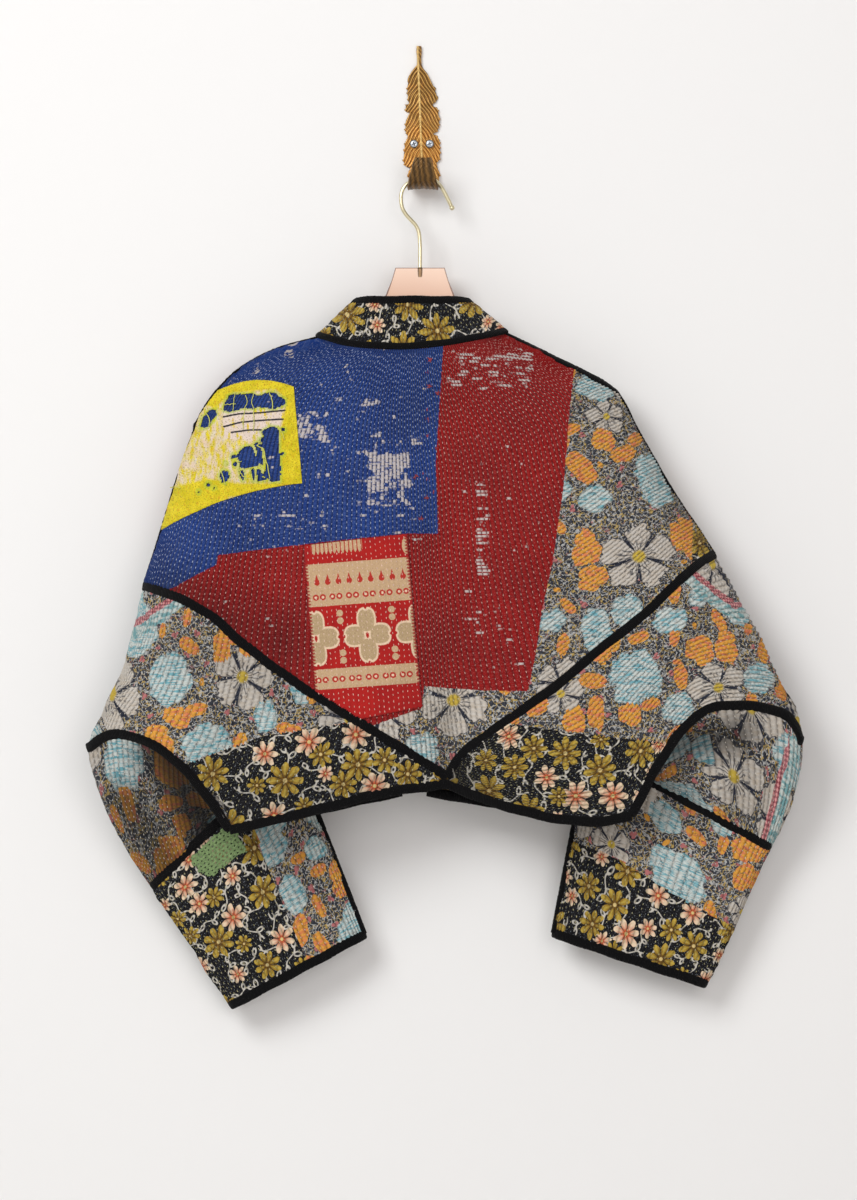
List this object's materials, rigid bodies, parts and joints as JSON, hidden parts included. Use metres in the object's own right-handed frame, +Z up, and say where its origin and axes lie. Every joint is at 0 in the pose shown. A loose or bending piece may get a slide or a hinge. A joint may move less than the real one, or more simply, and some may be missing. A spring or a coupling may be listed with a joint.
{
  "type": "quilted cropped jacket on a hanger and wall hook",
  "caption": "Wide-sleeved cropped jacket of quilted patchwork with black bound seams, hung on a flat clear hanger from a feather-shaped brass wall hook.",
  "frame": {"origin": "on the back face of the wall hook, midway between its screws", "axes": "+Z up, +Y into the wall, +X to the viewer's right; the jacket's back faces -Y"},
  "size_m": [0.755, 0.1182, 1.0149],
  "materials": {
    "patchwork": "matte quilted cotton",
    "floral": "matte quilted cotton",
    "dark_floral": "matte quilted cotton",
    "print_patch": "matte printed cotton",
    "frame_patch": "worn cotton",
    "knit_patch": "loose knit",
    "tape": "matte ribbed tape",
    "antique_brass": "aged, worn on its ridges",
    "screw": "zinc plated",
    "acrylic": "clear, polished",
    "brass_wire": "polished"
  },
  "bodies": {
    "root": {"back": "patchwork", "front_left": "patchwork", "front_right": "patchwork", "side_left": "floral", "side_right": "floral", "sleeve_left": "floral", "sleeve_right": "floral", "cuff_left": "dark_floral", "cuff_right": "dark_floral", "collar": "dark_floral", "patch_print": "print_patch", "patch_frame": "frame_patch", "patch_knit": "knit_patch", "binding_hem_back": "tape", "binding_armhole_left": "tape", "binding_cuff_top_left": "tape", "binding_cuff_edge_left": "tape", "binding_cuff_inner_left": "tape", "binding_seam_left": "tape", "binding_shoulder_left": "tape", "binding_hem_front_left": "tape", "binding_front_left": "tape", "binding_armhole_right": "tape", "binding_cuff_top_right": "tape", "binding_cuff_edge_right": "tape", "binding_cuff_inner_right": "tape", "binding_seam_right": "tape", "binding_shoulder_right": "tape", "binding_hem_front_right": "tape", "binding_front_right": "tape", "binding_collar_foot": "tape", "binding_collar_top": "tape", "wall_hook": "antique_brass", "screw_left": "screw", "screw_right": "screw", "hanger": "acrylic", "hanger_hook": "brass_wire", "hanger_ferrule": "brass_wire"}
  },
  "joints": []
}
